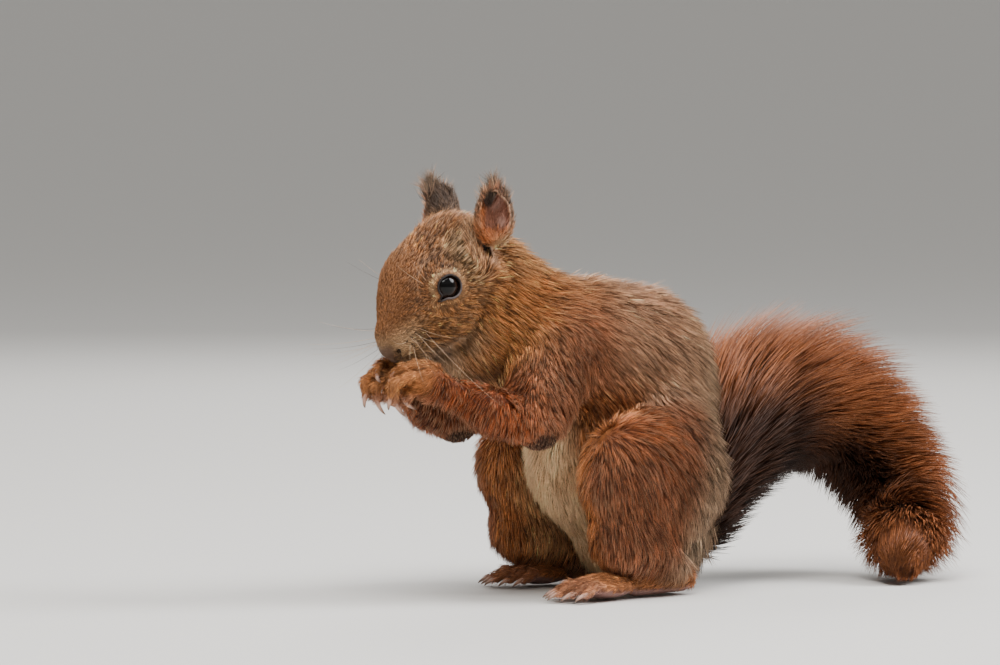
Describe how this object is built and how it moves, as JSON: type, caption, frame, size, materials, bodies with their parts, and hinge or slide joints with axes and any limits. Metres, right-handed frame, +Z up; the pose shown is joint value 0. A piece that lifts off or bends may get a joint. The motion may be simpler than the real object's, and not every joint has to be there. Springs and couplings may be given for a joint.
{
  "type": "red squirrel",
  "caption": "Life-size still model of a Eurasian red squirrel sitting on its haunches, forepaws held together at its mouth, tufted ears up and a bushy tail arched behind it.",
  "frame": {"origin": "on the floor, below the middle of the whole animal's box", "axes": "+Z is up, the squirrel faces -X, its left side is -Y"},
  "size_m": [0.241, 0.0962, 0.1491],
  "materials": {
    "fur_head": "short grizzled tan and orange-brown fur, pale ring round the eye, white throat",
    "fur_russet": "russet to chestnut fur with pale tips, cream-white on the belly",
    "fur_back": "greyish brown fur of the back and rump",
    "fur_ear": "dark grey-brown fur and tufts outside, bare pinkish brown skin inside",
    "fur_foot": "very short russet fur over mauve-grey skin",
    "fur_hand": "very short orange fur over pinkish grey skin",
    "fur_tail": "long chestnut-red hair, darker at the roots",
    "eye": "wet glossy black-brown",
    "claw": "translucent horn",
    "skin": "bare skin of the nose, lips, pads and elbow",
    "whisker": "single stiff hairs"
  },
  "bodies": {
    "root": {"head": "fur_head", "neck": "fur_russet", "chest": "fur_russet", "rump": "fur_back", "eye_left": "eye", "eye_right": "eye", "ear_left": "fur_ear", "ear_right": "fur_ear", "thigh_left": "fur_russet", "thigh_right": "fur_russet", "shin_left": "fur_russet", "shin_right": "fur_russet", "foot_left": "fur_foot", "foot_right": "fur_foot", "upper_arm_left": "fur_russet", "upper_arm_right": "fur_russet", "forearm_left": "fur_russet", "forearm_right": "fur_russet", "hand_left": "fur_hand", "hand_right": "fur_hand", "tail_1": "fur_tail", "tail_2": "fur_tail", "tail_3": "fur_tail", "tail_4": "fur_tail"}
  },
  "joints": []
}
